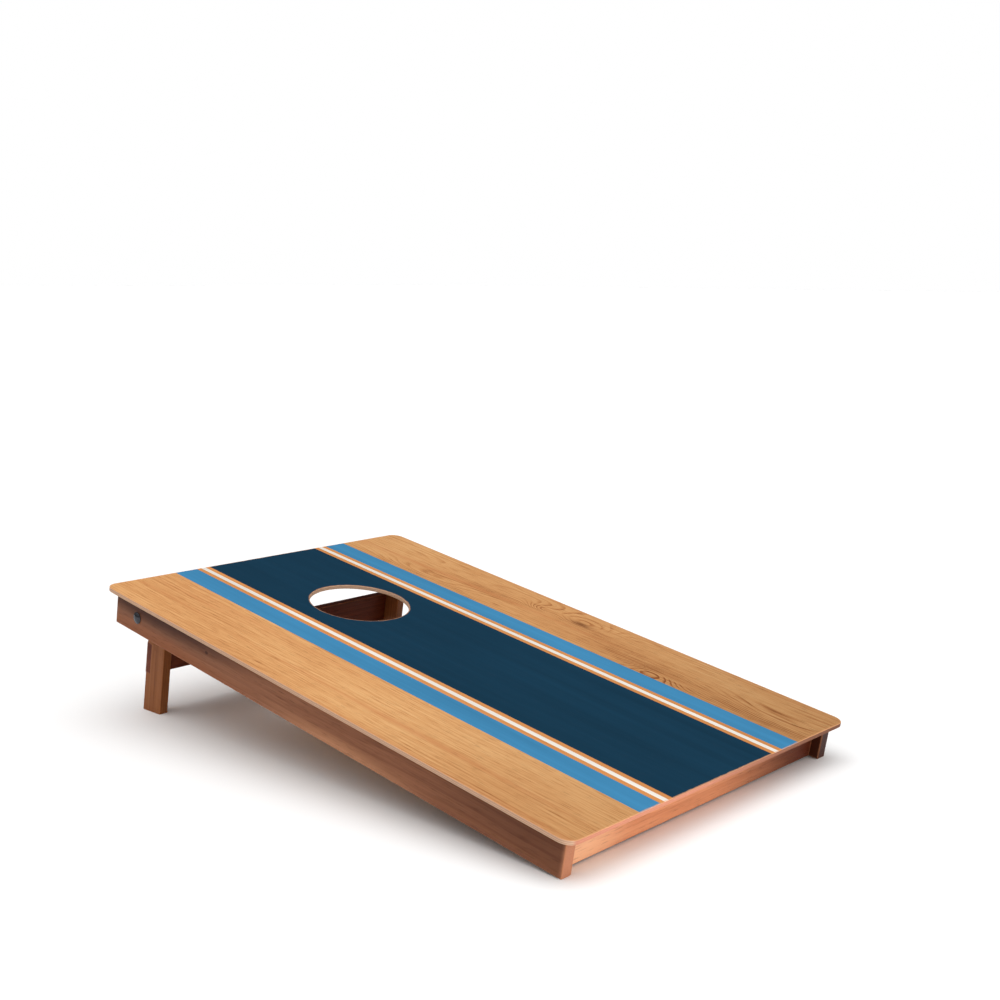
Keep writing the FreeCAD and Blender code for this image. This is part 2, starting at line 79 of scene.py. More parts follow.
def solid_boxes(node):
    """The box of each separate solid of a CAD node, in the deck frame."""
    mesh = bmesh.new()
    mesh.from_mesh(frame["nodes"][node].data)
    bmesh.ops.remove_doubles(mesh, verts=mesh.verts, dist=SAME_POINT)
    boxes = []
    waiting = set(mesh.verts)
    while waiting:
        start = waiting.pop()
        solid, reached = [start], [start]
        while reached:
            vertex = reached.pop()
            for edge in vertex.link_edges:
                other = edge.other_vert(vertex)
                if other in waiting:
                    waiting.remove(other)
                    solid.append(other)
                    reached.append(other)
        boxes.append(box_of([WORLD_TO_DECK @ vertex.co for vertex in solid]))
    mesh.free()
    return sorted(boxes, key=lambda box: tuple(box[0]))


DECK_LOW, DECK_HIGH = deck_box("deck_panel")
DECK_HALF_WIDTH = DECK_HIGH.x
DECK_HALF_LENGTH = DECK_HIGH.y
DECK_THICKNESS = DECK_HIGH.z - DECK_LOW.z
DECK_CORNER = 0.018
HOLE_RADIUS = 0.0762
HOLE_FROM_REAR = 0.234
HOLE_MIDDLE = Vector((0, DECK_HALF_LENGTH - HOLE_FROM_REAR, 0))

# ---------------------------------------------------------------- shader helpers


def paint(red, green, blue, alpha=1.0):
    """A colour given in 0 to 255 screen values, as the shader's linear RGBA."""
    channels = []
    for value in (red, green, blue):
        share = value / 255
        channels.append(share / 12.92 if share <= 0.04045 else ((share + 0.055) / 1.055) ** 2.4)
    return (*channels, alpha)


class Shader:
    """A material in the making: its tree, its Principled shader and short ways to add nodes."""

    def __init__(self, name):
        self.material = bpy.data.materials.new(name)
        self.material.use_nodes = True
        self.tree = self.material.node_tree
        self.surface = self.tree.nodes["Principled BSDF"]

    def feed(self, socket, value):
        """Links a socket to another, or sets its value."""
        if isinstance(value, bpy.types.NodeSocket):
            self.tree.links.new(value, socket)
        else:
            socket.default_value = value

    def add(self, kind, *values, **settings):
        """Adds a node, with its first inputs and its settings filled in."""
        node = self.tree.nodes.new(kind)
        for name, setting in settings.items():
            setattr(node, name, setting)
        for socket, value in zip(node.inputs, values):
            self.feed(socket, value)
        return node

    def calculate(self, operation, *values, clamp=False):
        node = self.add("ShaderNodeMath", *values, operation=operation, use_clamp=clamp)
        return node.outputs["Value"]

    def total(self, *terms):
        """The sum of (value, weight) terms."""
        result = 0.0
        for value, weight in terms:
            result = self.calculate("MULTIPLY_ADD", value, weight, result)
        return result

    def vector(self, operation, *values):
        return self.add("ShaderNodeVectorMath", *values, operation=operation).outputs[0]

    def length(self, value):
        return self.add("ShaderNodeVectorMath", value, operation="LENGTH").outputs["Value"]

    def split(self, value):
        return self.add("ShaderNodeSeparateXYZ", value).outputs

    def join(self, x, y, z):
        return self.add("ShaderNodeCombineXYZ", x, y, z).outputs[0]

    def step(self, value, start, end, low=0.0, high=1.0):
        """Goes smoothly from low to high as value goes from start to end."""
        node = self.add("ShaderNodeMapRange", value, start, end, low, high, interpolation_type="SMOOTHSTEP")
        return node.outputs["Result"]

    def mix(self, share, first, second):
        """Colour first where share is 0 and second where it is 1."""
        node = self.add("ShaderNodeMix", share, data_type="RGBA")
        self.feed(node.inputs[6], first)
        self.feed(node.inputs[7], second)
        return node.outputs[2]

    def shade(self, colour, amount):
        """The colour, made lighter or darker by the amount it is multiplied by."""
        return self.vector("MULTIPLY", colour, self.join(amount, amount, amount))

    def noise(self, place, detail=2.0, roughness=0.5, distortion=0.0):
        """Cloudy noise of about one unit across, around 0.5."""
        node = self.add("ShaderNodeTexNoise")
        self.feed(node.inputs["Vector"], place)
        node.inputs["Scale"].default_value = 1.0
        node.inputs["Detail"].default_value = detail
        node.inputs["Roughness"].default_value = roughness
        node.inputs["Distortion"].default_value = distortion
        return node.outputs["Fac"]

    def noise_vector(self, place, detail=2.0):
        """A wandering vector, around zero."""
        node = self.add("ShaderNodeTexNoise")
        self.feed(node.inputs["Vector"], place)
        node.inputs["Scale"].default_value = 1.0
        node.inputs["Detail"].default_value = detail
        return self.vector("SUBTRACT", node.outputs["Color"], (0.5, 0.5, 0.5))

    def ramp(self, value, stops, interpolation="LINEAR"):
        """A colour ramp with (position, colour) stops."""
        node = self.add("ShaderNodeValToRGB", value)
        node.color_ramp.interpolation = interpolation
        elements = node.color_ramp.elements
        while len(elements) < len(stops):
            elements.new(0.5)
        for element, (position, colour) in zip(elements, stops):
            element.position = position
            element.color = colour
        return node

    def deck_place(self):
        """The point being shaded, in the deck frame, wherever its body has moved to."""
        node = self.add("ShaderNodeMapping", vector_type="TEXTURE")
        self.feed(node.inputs["Vector"], self.add("ShaderNodeTexCoord").outputs["Object"])
        node.inputs["Location"].default_value = DECK_MIDDLE
        node.inputs["Rotation"].default_value = (TILT, 0, 0)
        return node.outputs["Vector"]

    def finish(self, colour, roughness, height, depth):
        """Feeds the shader. The height, from 0 to 1, raises the surface by up to depth."""
        bump = self.add("ShaderNodeBump")
        bump.inputs["Distance"].default_value = depth
        self.feed(bump.inputs["Height"], height)
        self.feed(self.surface.inputs["Base Color"], colour)
        self.feed(self.surface.inputs["Roughness"], roughness)
        self.feed(self.surface.inputs["Normal"], bump.outputs["Normal"])
        return self.material


# ---------------------------------------------------------------- wood

GRAIN_X = "x"
GRAIN_Y = "y"
GRAIN_Z = "z"

RUBBED_WOOD = paint(206, 140, 98)
RUBBED_SHARE = 0.24
WOOD_GLOSS = 0.10
WOOD_RELIEF = 0.00022
# Where each of a board's four tones sits, from pale to dark.
WOOD_TONE_STOPS = (0.27, 0.38, 0.49, 0.64)


def along_grain(shader, place, grain):
    """The place with its second coordinate running along the grain."""
    x, y, z = shader.split(place)
    order = {GRAIN_X: (y, x, z), GRAIN_Y: (x, y, z), GRAIN_Z: (x, z, y)}[grain]
    return shader.join(*order)


def stretched(shader, place, across, along):
    """The place scaled for a texture that is finer across the grain than along it."""
    return shader.vector("MULTIPLY", place, (across, along, across))


def fibres(shader, place):
    """Fine lengthwise fibres, and short open pores, each from 0 to 1."""
    fibre = shader.noise(stretched(shader, place, 620, 11), 4, 0.65)
    pore = shader.step(shader.noise(stretched(shader, place, 1250, 42), 1.5), 0.60, 0.72)
    return fibre, pore


def growth(shader, phase, strength):
    """The dark late wood of each yearly ring: it deepens slowly and stops short."""
    band = shader.calculate("FRACT", phase)
    deepening = shader.step(band, 0.45, 0.93)
    stopping = shader.step(band, 0.93, 1.0, 1.0, 0.0)
    line = shader.calculate("MULTIPLY", deepening, stopping)
    return shader.calculate("MULTIPLY", line, strength)


def edge_wear(shader, place, low, high):
    """1 on the rubbed edges of a squared board whose box is low to high, and 0 on its faces."""
    middle, half = (low + high) / 2, (high - low) / 2
    inward = shader.vector("SUBTRACT", place, middle)
    inward = shader.vector("ABSOLUTE", inward)
    x, y, z = shader.split(shader.vector("SUBTRACT", half, inward))
    least = shader.calculate("MINIMUM", x, y)
    most = shader.calculate("MAXIMUM", x, y)
    distance = shader.calculate("MAXIMUM", least, shader.calculate("MINIMUM", most, z))
    ragged = shader.noise(shader.vector("MULTIPLY", place, (240, 240, 240)), 4, 0.7)
    distance = shader.total((distance, 1.0), (ragged, -0.0022))
    return shader.step(distance, -0.0006, 0.0012, 1.0, 0.0)


def solid_wood(name, node, grain, tones, seed, ring, pith, knots, painted_patches):
    """Stained solid wood: rings about a pith line off the board, streaks, fibres, pores and wear, with any
    patches of painted light and shade.
    """
    shader = Shader(name)
    low, high = deck_box(node)
    place = shader.deck_place()
    local = shader.vector("SUBTRACT", place, (low + high) / 2)
    lengthwise = along_grain(shader, local, grain)
    seeded = shader.vector("ADD", lengthwise, Vector((seed * 0.37, seed * 1.91, seed * 0.73)))

    wander = shader.noise_vector(stretched(shader, seeded, 9, 1.6), 3)
    wander = shader.vector("MULTIPLY", wander, (0.028, 0, 0.028))
    bent = shader.vector("ADD", lengthwise, wander)
    for middle, size in knots:
        away = shader.vector("SUBTRACT", lengthwise, Vector(middle))
        away = shader.vector("DIVIDE", away, Vector((size, size * 2.4, size)))
        swell = shader.calculate("EXPONENT", shader.calculate("MULTIPLY", shader.length(away), -1.0))
        swell = shader.calculate("MULTIPLY", swell, size * 1.5)
        bent = shader.vector("ADD", bent, shader.join(swell, 0.0, swell))
    from_pith = shader.vector("SUBTRACT", bent, Vector((pith[0], 0, pith[1])))
    radius = shader.length(shader.vector("MULTIPLY", from_pith, (1, 0, 1)))
    cloud = shader.noise(stretched(shader, seeded, 14, 2.2), 3)
    phase = shader.total((radius, 1 / ring), (cloud, 1.4))
    ring_noise = shader.add("ShaderNodeTexWhiteNoise", noise_dimensions="1D")
    shader.feed(ring_noise.inputs["W"], shader.calculate("FLOOR", phase))
    strength = shader.step(ring_noise.outputs["Value"], 0.0, 1.0, 0.35, 1.0)
    late = growth(shader, phase, strength)

    streak = shader.noise(stretched(shader, seeded, 46, 1.1), 4, 0.6)
    fibre, pore = fibres(shader, seeded)
    tone = shader.total((streak, 0.26), (late, 0.07), (fibre, 0.24), (cloud, 0.26))
    colour = shader.ramp(tone, list(zip(WOOD_TONE_STOPS, tones))).outputs["Color"]
    # Patches of painted light and shade, laid over the wood's own colour.
    for middle, half, strength, patch_colour in painted_patches:
        away = shader.vector("SUBTRACT", lengthwise, Vector(middle))
        away = shader.vector("DIVIDE", away, Vector(half))
        reach = shader.total((shader.length(away), 1.0), (cloud, 0.9), (streak, 0.5), (1.0, -0.7))
        share = shader.step(reach, 0.25, 1.15, strength, 0.0)
        grainy = shader.shade(patch_colour[:3], shader.total((streak, 0.7), (fibre, 0.4), (1.0, 0.45)))
        colour = shader.mix(share, colour, grainy)
    colour = shader.shade(colour, shader.total((pore, -0.38), (1.0, 1.0)))
    height = shader.total((pore, -0.55), (fibre, 0.30), (late, -0.14), (1.0, 0.6))
    for middle, size in knots:
        away = shader.vector("SUBTRACT", lengthwise, Vector(middle))
        away = shader.vector("DIVIDE", away, Vector((size, size * 1.5, size)))
        eye = shader.step(shader.length(away), 0.30, 1.0, 1.0, 0.0)
        colour = shader.mix(shader.calculate("MULTIPLY", eye, 0.8), colour, tones[3])
        colour = shader.shade(colour, shader.total((eye, -0.45), (1.0, 1.0)))
    wear = edge_wear(shader, place, low, high)
    rubbed = shader.mix(shader.calculate("MULTIPLY", wear, RUBBED_SHARE), colour, RUBBED_WOOD)
    roughness = shader.total((fibre, 0.16), (pore, 0.18), (wear, 0.12), (1.0, 0.34))
    shader.surface.inputs["Specular IOR Level"].default_value = WOOD_GLOSS
    return shader.finish(rubbed, roughness, height, WOOD_RELIEF)


# ---------------------------------------------------------------- the printed plywood deck

# Outer edge of each printed band, from the board's middle line out, with its paint.
# The paint's alpha says how well it hides the wood.
BANDS = (
    (0.1085, paint(18, 51, 71, 1.0)),
    (0.1165, paint(203, 128, 66, 0.62)),
    (0.1245, paint(222, 217, 208, 1.0)),
    (0.1325, paint(203, 128, 66, 0.62)),
    (0.1730, paint(61, 127, 168, 1.0)),
    (0.3000, paint(212, 150, 96, 0.0)),
)

# Where the growth rings swell, as (across, along, half width, half length, rings).
SWELLS = (
    (0.250, -0.018, 0.034, 0.070, 9.0),
    (0.246, 0.060, 0.018, 0.026, 4.2),
    (0.195, -0.202, 0.026, 0.044, -5.6),
    (0.190, 0.255, 0.024, 0.105, 5.4),
    (0.245, 0.230, 0.024, 0.100, 5.0),
    (0.214, -0.400, 0.040, 0.110, 4.6),
    (-0.282, 0.060, 0.020, 0.140, -2.2),
    (-0.215, -0.170, 0.024, 0.130, 1.8),
    (-0.200, 0.360, 0.045, 0.120, 1.6),
)
# Dark heart of the one knot in the face veneer, as (across, along, half width, half length).
KNOT = (0.250, -0.018, 0.0070, 0.017)
KNOT_COLOUR = paint(104, 58, 34)
VENEER_TONES = (paint(225, 175, 120), paint(210, 154, 100), paint(188, 128, 79), paint(144, 87, 51))
VENEER_TONE_STOPS = (0.54, 0.70, 0.86, 1.06)
RED_STREAK = paint(192, 120, 74)
RUBBED_VENEER = paint(206, 150, 108)

PLY_COUNT = 5
LONG_PLY = (paint(222, 188, 160), paint(192, 154, 128))
CROSS_PLY = (paint(204, 164, 136), paint(168, 128, 102))
GLUE_LINE = paint(108, 74, 58)
# Reddish stain on the deck's front edge, from its left part to its right; its darkening towards the right
# is painted shade.
FRONT_EDGE_STAIN_AND_SHADE = (paint(184, 116, 92), paint(92, 48, 34))
DECK_GLOSS = 0.03
DECK_RELIEF = 0.00018


def hump(shader, place, across, along, half_width, half_length):
    """A smooth hump, 1 at its middle."""
    away = shader.vector("SUBTRACT", place, (across, along, 0))
    away = shader.vector("MULTIPLY", away, (1 / half_width, 1 / half_length, 0))
    square = shader.add("ShaderNodeVectorMath", away, away, operation="DOT_PRODUCT").outputs["Value"]
    return shader.calculate("EXPONENT", shader.calculate("MULTIPLY", square, -1.0))


def face_veneer(shader, place):
    """The oiled face veneer: its colour, and its fibres and pores for the relief."""
    flat = shader.vector("MULTIPLY", place, (1, 1, 0))
    wander = shader.noise(stretched(shader, flat, 13, 2.6), 3, 0.55)
    across, along, _ = shader.split(flat)
    phase = shader.total((across, 135), (along, 2.2), (wander, 3.4))
    figure = 0.0
    for across_at, along_at, half_width, half_length, rings in SWELLS:
        swell = hump(shader, flat, across_at, along_at, half_width, half_length)
        phase = shader.total((swell, rings), (phase, 1.0))
        if across_at > 0:
            figure = shader.total((swell, 1.0), (figure, 1.0))
    fading = shader.step(shader.noise(stretched(shader, flat, 30, 5), 3), 0.40, 0.66, 0.10, 1.0)
    late = growth(shader, phase, fading)
    figured = shader.calculate("MULTIPLY", late, shader.calculate("MINIMUM", figure, 1.0))
    streak = shader.noise(stretched(shader, flat, 260, 3.4), 6, 0.72)
    dashes = shader.noise(stretched(shader, flat, 760, 24), 2, 0.5)
    dash = shader.step(dashes, 0.56, 0.70)
    mottle = shader.noise(stretched(shader, flat, 7, 1.8), 3)
    fibre, pore = fibres(shader, flat)
    ringed = ((streak, 0.46), (late, 0.13), (figured, 0.34))
    tone = shader.total(*ringed, (fibre, 0.46), (mottle, 0.42), (dash, 0.17))
    colour = shader.ramp(tone, list(zip(VENEER_TONE_STOPS, VENEER_TONES))).outputs["Color"]
    heart = hump(shader, flat, *KNOT)
    colour = shader.mix(shader.calculate("MULTIPLY", heart, 0.72), colour, KNOT_COLOUR)
    red = shader.step(shader.noise(stretched(shader, flat, 38, 0.9), 3), 0.54, 0.72, 0.0, 0.48)
    colour = shader.mix(red, colour, RED_STREAK)
    low_end = shader.step(along, -0.46, 0.05, -0.20, 0.0)
    right_plank = shader.step(across, -0.02, 0.02, -0.03, -0.15)
    tint = shader.total((low_end, 1.0), (right_plank, 1.0), (pore, -0.30), (1.0, 1.01))
    colour = shader.shade(colour, tint)
    return colour, fibre, pore


def plies(shader, place, down):
    """The sawn edge of the plywood: thin layers, light and dark in turn, with glue lines."""
    layer = shader.calculate("MULTIPLY", down, PLY_COUNT / DECK_THICKNESS)
    crosswise = shader.calculate("PINGPONG", shader.calculate("FLOOR", layer), 1.0)
    within = shader.calculate("FRACT", layer)
    glue_below = shader.step(within, 0.86, 0.97)
    glue_above = shader.step(within, 0.03, 0.14, 1.0, 0.0)
    glue = shader.calculate("MAXIMUM", glue_below, glue_above)
    grit = shader.noise(shader.vector("MULTIPLY", place, (420, 420, 900)), 4, 0.7)
    long_grit = shader.noise(shader.vector("MULTIPLY", place, (60, 60, 2500)), 3, 0.6)
    light = shader.mix(grit, *LONG_PLY)
    dark = shader.mix(long_grit, *CROSS_PLY)
    colour = shader.mix(crosswise, light, dark)
    colour = shader.mix(shader.calculate("MULTIPLY", glue, 0.34), colour, GLUE_LINE)
    return colour, grit


def within_outline(shader, place):
    """Distance inward from the panel's round-cornered outline."""
    inner = Vector((DECK_HALF_WIDTH - DECK_CORNER, DECK_HALF_LENGTH - DECK_CORNER, 0))
    beyond = shader.vector("SUBTRACT", shader.vector("ABSOLUTE", place), inner)
    across, along, _ = shader.split(beyond)
    clear_across = shader.calculate("MAXIMUM", across, 0.0)
    clear_along = shader.calculate("MAXIMUM", along, 0.0)
    clear = shader.join(clear_across, clear_along, 0.0)
    flat = shader.calculate("MINIMUM", shader.calculate("MAXIMUM", across, along), 0.0)
    return shader.total((shader.length(clear), -1.0), (flat, -1.0), (1.0, DECK_CORNER))


def printed_plywood():
    """The deck: print and veneer on top, plies round the edge and in the hole, plain veneer under."""
    shader = Shader("printed_plywood")
    place = shader.deck_place()
    across, along, up = shader.split(place)
    down = shader.calculate("MULTIPLY", up, -1.0)
    veneer, fibre, pore = face_veneer(shader, place)

    creep = shader.noise(stretched(shader, place, 70, 70), 4, 0.7)
    out = shader.calculate("ABSOLUTE", across)
    out = shader.total((out, 1.0), (creep, 0.0005), (1.0, -0.00025))
    stops = [(0.0, BANDS[0][1])]
    for (edge, _), (_, colour) in zip(BANDS, BANDS[1:]):
        stops.append((edge / DECK_HALF_WIDTH, colour))
    band = shader.ramp(shader.calculate("DIVIDE", out, DECK_HALF_WIDTH), stops, "CONSTANT")
    brush = shader.noise(stretched(shader, place, 55, 1.3), 5, 0.62)
    patch = shader.noise(stretched(shader, place, 9, 4), 3)
    ink = shader.shade(band.outputs["Color"], shader.total((brush, 0.52), (patch, 0.34), (1.0, 0.57)))
    hiding = shader.total((band.outputs["Alpha"], 1.0), (pore, -0.012))
    hiding = shader.calculate("MAXIMUM", hiding, 0.0)
    top = shader.mix(hiding, veneer, ink)

    outline = within_outline(shader, place)
    from_hole = shader.vector("MULTIPLY", shader.vector("SUBTRACT", place, HOLE_MIDDLE), (1, 1, 0))
    rim = shader.calculate("SUBTRACT", shader.length(from_hole), HOLE_RADIUS)
    nearest = shader.calculate("MINIMUM", outline, rim)
    rubbed = shader.step(shader.total((nearest, 1.0), (creep, -0.0034)), -0.0008, 0.0006, 1.0, 0.0)
    top = shader.mix(shader.calculate("MULTIPLY", rubbed, 0.6), top, RUBBED_VENEER)

    edge, grit = plies(shader, place, down)
    front_edge = shader.step(along, -DECK_HALF_LENGTH + 0.0004, -DECK_HALF_LENGTH + 0.0030, 0.82, 0.0)
    # The front edge's reddish stain, darkened towards the right by painted shade.
    edge_stain_and_shade = shader.mix(shader.step(across, -0.12, 0.26), *FRONT_EDGE_STAIN_AND_SHADE)
    edge = shader.mix(front_edge, edge, shader.shade(edge_stain_and_shade, shader.total((grit, 0.4), (1.0, 0.8))))
    under = shader.shade(veneer, shader.total((grit, 0.10), (1.0, 0.80)))
    edge_depth = shader.total((down, 1.0), (creep, 0.0003))
    colour = shader.mix(shader.step(edge_depth, 0.00045, 0.00065), top, edge)
    beneath = shader.step(down, DECK_THICKNESS - 0.0004, DECK_THICKNESS - 0.0002)
    colour = shader.mix(beneath, colour, under)

    bare = shader.calculate("SUBTRACT", 1.0, hiding, clamp=True)
    relief = shader.total((pore, -0.30), (fibre, 0.26))
    relief = shader.calculate("MULTIPLY", relief, shader.total((bare, 0.65), (1.0, 0.35)))
    height = shader.total((relief, 1.0), (brush, 0.10), (hiding, 0.18), (1.0, 0.30))
    roughness = shader.total((fibre, 0.12), (bare, 0.05), (rubbed, 0.12), (patch, 0.10), (1.0, 0.58))
    shader.surface.inputs["Specular IOR Level"].default_value = DECK_GLOSS
    return shader.finish(colour, roughness, height, DECK_RELIEF)


# ---------------------------------------------------------------- metal and nylon


def metal(name, light, dark, metallic, smooth, rough, scratches):
    """Plated or blackened steel: cloudy plating and fine scratches."""
    shader = Shader(name)
    place = shader.deck_place()
    cloud = shader.noise(shader.vector("MULTIPLY", place, (310, 310, 310)), 4, 0.6)
    speck = shader.noise(shader.vector("MULTIPLY", place, (2600, 2600, 2600)), 3, 0.6)
    scratch = shader.noise(shader.vector("MULTIPLY", place, (520, 5200, 5200)), 2, 0.5)
    scratch = shader.step(scratch, 0.60, 0.70)
    colour = shader.mix(shader.total((cloud, 0.8), (speck, 0.3)), light, dark)
    colour = shader.shade(colour, shader.total((scratch, scratches), (1.0, 1.0)))
    roughness = shader.total((cloud, rough - smooth), (speck, 0.08), (scratch, 0.10), (1.0, smooth))
    height = shader.total((speck, 0.55), (scratch, -0.30), (1.0, 0.40))
    shader.surface.inputs["Metallic"].default_value = metallic
    return shader.finish(colour, roughness, height, 0.00002)


def nylon():
    """The pale locking ring: milky, slightly mottled, with moulding marks."""
    shader = Shader("nylon_ring")
    place = shader.deck_place()
    cloud = shader.noise(shader.vector("MULTIPLY", place, (700, 700, 700)), 3)
    speck = shader.noise(shader.vector("MULTIPLY", place, (5200, 5200, 5200)), 2)
    colour = shader.mix(cloud, paint(232, 235, 236), paint(196, 204, 214))
    roughness = shader.total((speck, 0.20), (1.0, 0.38))
    shader.surface.inputs["Subsurface Weight"].default_value = 0.15
    shader.surface.inputs["Subsurface Radius"].default_value = (0.0006, 0.0006, 0.0006)
    return shader.finish(colour, roughness, speck, 0.00003)


# ---------------------------------------------------------------- hardware made by mesh code

SHARP_EDGE = math.radians(32)


def skinned(name, rings, first=None, last=None):
    """A closed mesh through rings of points, all in the deck frame.

    The ends close on the points first and last, or, without them, the last ring joins the first.
    """
    mesh = bmesh.new()
    loops = [[mesh.verts.new(DECK_TO_WORLD @ point) for point in ring] for ring in rings]
    count = len(loops[0])
    pairs = list(zip(loops, loops[1:]))
    if first is None:
        pairs.append((loops[-1], loops[0]))
    for near, far in pairs:
        for i in range(count):
            j = (i + 1) % count
            mesh.faces.new((near[i], near[j], far[j], far[i]))
    for point, loop in ((first, loops[0]), (last, loops[-1])):
        if point is not None:
            tip = mesh.verts.new(DECK_TO_WORLD @ point)
            for i in range(count):
                mesh.faces.new((tip, loop[i], loop[(i + 1) % count]))
    bmesh.ops.recalc_face_normals(mesh, faces=mesh.faces)
    data = bpy.data.meshes.new(name)
    mesh.to_mesh(data)
    mesh.free()
    for face in data.polygons:
        face.use_smooth = True
    data.set_sharp_from_angle(angle=SHARP_EDGE)
    piece = bpy.data.objects.new(name, data)
    bpy.context.scene.collection.objects.link(piece)
    return piece


class Turned:
    """Rings about an axis in the deck frame, from a start point along a direction."""

    def __init__(self, start, direction, count):
        self.start = start
        self.direction = direction
        self.side = Z_AXIS if abs(direction.z) < 0.5 else X_AXIS
        self.other = direction.cross(self.side)
        self.count = count

    def point(self, travel, radius=0.0, angle=0.0):
        outward = self.side * math.cos(angle) + self.other * math.sin(angle)
        return self.start + self.direction * travel + outward * radius

    def ring(self, travel, radius):
        """One ring. Its radius, and the travel, may be functions of the angle."""
        points = []
        for i in range(self.count):
            angle = 2 * math.pi * i / self.count
            there = travel(angle) if callable(travel) else travel
            wide = radius(angle) if callable(radius) else radius
            points.append(self.point(there, wide, angle))
        return points


def polygon_radius(angle, sides, inscribed):
    """Distance from the middle to the side of a regular polygon."""
    sector = 2 * math.pi / sides
    offset = (angle + sector / 2) % sector - sector / 2
    return inscribed / math.cos(offset)


def thread_radius(travel, angle, pitch, crest, root):
    """Radius of a V thread with narrow flat crests."""
    turn = (travel / pitch - angle / (2 * math.pi)) % 1.0
    slope = min(1.0, 2.35 * abs(turn - 0.5))
    return crest + (root - crest) * slope


BOLT_RADIUS = 0.004
BOLT_PITCH = 0.00125
THREAD_DEPTH = 0.0007
THREAD_LENGTH = 0.022
NECK_LENGTH = 0.0045
HEAD_HEIGHT = deck_box("pivot_bolt_right")[1].x - deck_box("side_rail_right")[1].x
HEAD_RIM = 0.0009
HEAD_RINGS = 14
BOLT_END_BEVEL = 0.0008
THREAD_RUN_IN = 0.0008
BOLT_STEPS_PER_TURN = 9


def carriage_bolt(name, node, outward):
    """A round-headed bolt with a square neck and a rolled thread. outward is -1 or 1 along X."""
    low, high = deck_box(node)
    middle = (low + high) / 2
    head_radius = (high.y - low.y) / 2
    length = high.x - low.x
    start = Vector((high.x if outward > 0 else low.x, middle.y, middle.z))
    turned = Turned(start, X_AXIS * -outward, 64)
    dome_height = HEAD_HEIGHT - HEAD_RIM
    dome_radius = (head_radius**2 + dome_height**2) / (2 * dome_height)
    spread = math.asin(head_radius / dome_radius)
    rings = []
    for i in range(1, HEAD_RINGS + 1):
        lean = spread * i / HEAD_RINGS
        rings.append(turned.ring(dome_radius * (1 - math.cos(lean)), dome_radius * math.sin(lean)))
    for travel, shrink in ((0.35, 0.0), (0.75, 0.06), (1.0, 0.30)):
        rings.append(turned.ring(dome_height + HEAD_RIM * travel, head_radius - HEAD_RIM * shrink))
    neck_end = HEAD_HEIGHT + NECK_LENGTH

    def square(angle):
        return min(polygon_radius(angle, 4, BOLT_RADIUS), BOLT_RADIUS * 1.32)

    rings.append(turned.ring(HEAD_HEIGHT, square))
    rings.append(turned.ring(neck_end - 0.0006, square))
    rings.append(turned.ring(neck_end, BOLT_RADIUS))
    thread_start = length - THREAD_LENGTH
    rings.append(turned.ring(thread_start - THREAD_RUN_IN, BOLT_RADIUS))
    root = BOLT_RADIUS - THREAD_DEPTH
    threaded = THREAD_LENGTH - BOLT_END_BEVEL
    steps = int(threaded / BOLT_PITCH * BOLT_STEPS_PER_TURN)
    for i in range(steps + 1):
        travel = thread_start + threaded * i / steps

        def thread(angle, t=travel):
            return thread_radius(t, angle, BOLT_PITCH, BOLT_RADIUS, root)

        rings.append(turned.ring(travel, thread))
    rings.append(turned.ring(length, BOLT_RADIUS - BOLT_END_BEVEL))
    rings.append(turned.ring(length, BOLT_RADIUS * 0.4))
    bolt = skinned(name, rings, turned.point(0), turned.point(length))
    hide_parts(node)
    return bolt


NUT_BEVEL_ANGLE = math.radians(28)
NUT_COLLAR_RADIUS = 0.0057
NUT_HEX_HEIGHT = 0.0056
NUT_HALF_FLATS = 0.0065
# The nut and its nylon ring bite just into the bolt's surface. The washers clear it.
NUT_BORE = 0.00395
NYLON_BORE = 0.00392
WASHER_BORE = 0.0041
NYLON_EDGE = 0.0004
WASHER_EDGE = 0.0003
RING_SIDES = 96


def lock_nut(name, node, insert_node, outward):
    """A hexagon nut with bevelled corners and a round collar rolled over its nylon ring."""
    low, high = deck_box(node)
    middle = (low + high) / 2
    flat = NUT_HALF_FLATS
    length = high.x - low.x
    bearing = Vector((high.x if outward > 0 else low.x, middle.y, middle.z))
    turned = Turned(bearing, X_AXIS * -outward, RING_SIDES)

    def hexagon(angle):
        return polygon_radius(angle, 6, flat)

    def bevel(angle):
        return max(0.0, hexagon(angle) - flat * 1.012) * math.tan(NUT_BEVEL_ANGLE)

    bore = NUT_BORE
    insert_low, insert_high = deck_box(insert_node)
    insert_radius = (insert_high.y - insert_low.y) / 2
    insert_start = length - (insert_high.x - insert_low.x)
    top = NUT_HEX_HEIGHT
    rings = [
        turned.ring(0.0007, bore),
        turned.ring(0.0, bore + 0.0007),
        turned.ring(0.0, flat * 0.96),
        turned.ring(0.00004, flat * 0.995),
        turned.ring(lambda angle: bevel(angle) + 0.00012, hexagon),
        turned.ring(lambda angle: top - bevel(angle) - 0.00012, hexagon),
        turned.ring(top - 0.00004, flat * 0.99),
        turned.ring(top, flat * 0.94),
        turned.ring(top + 0.0001, NUT_COLLAR_RADIUS + 0.0002),
        turned.ring(top + 0.0004, NUT_COLLAR_RADIUS),
        turned.ring(length - 0.0007, NUT_COLLAR_RADIUS),
        turned.ring(length - 0.0002, NUT_COLLAR_RADIUS - 0.00015),
        turned.ring(length, NUT_COLLAR_RADIUS - 0.0005),
        turned.ring(length - 0.0001, insert_radius + 0.00015),
        turned.ring(length - 0.0003, insert_radius),
        turned.ring(insert_start, insert_radius),
        turned.ring(insert_start, bore),
    ]
    nut = skinned(name, rings)
    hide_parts(node)
    return nut


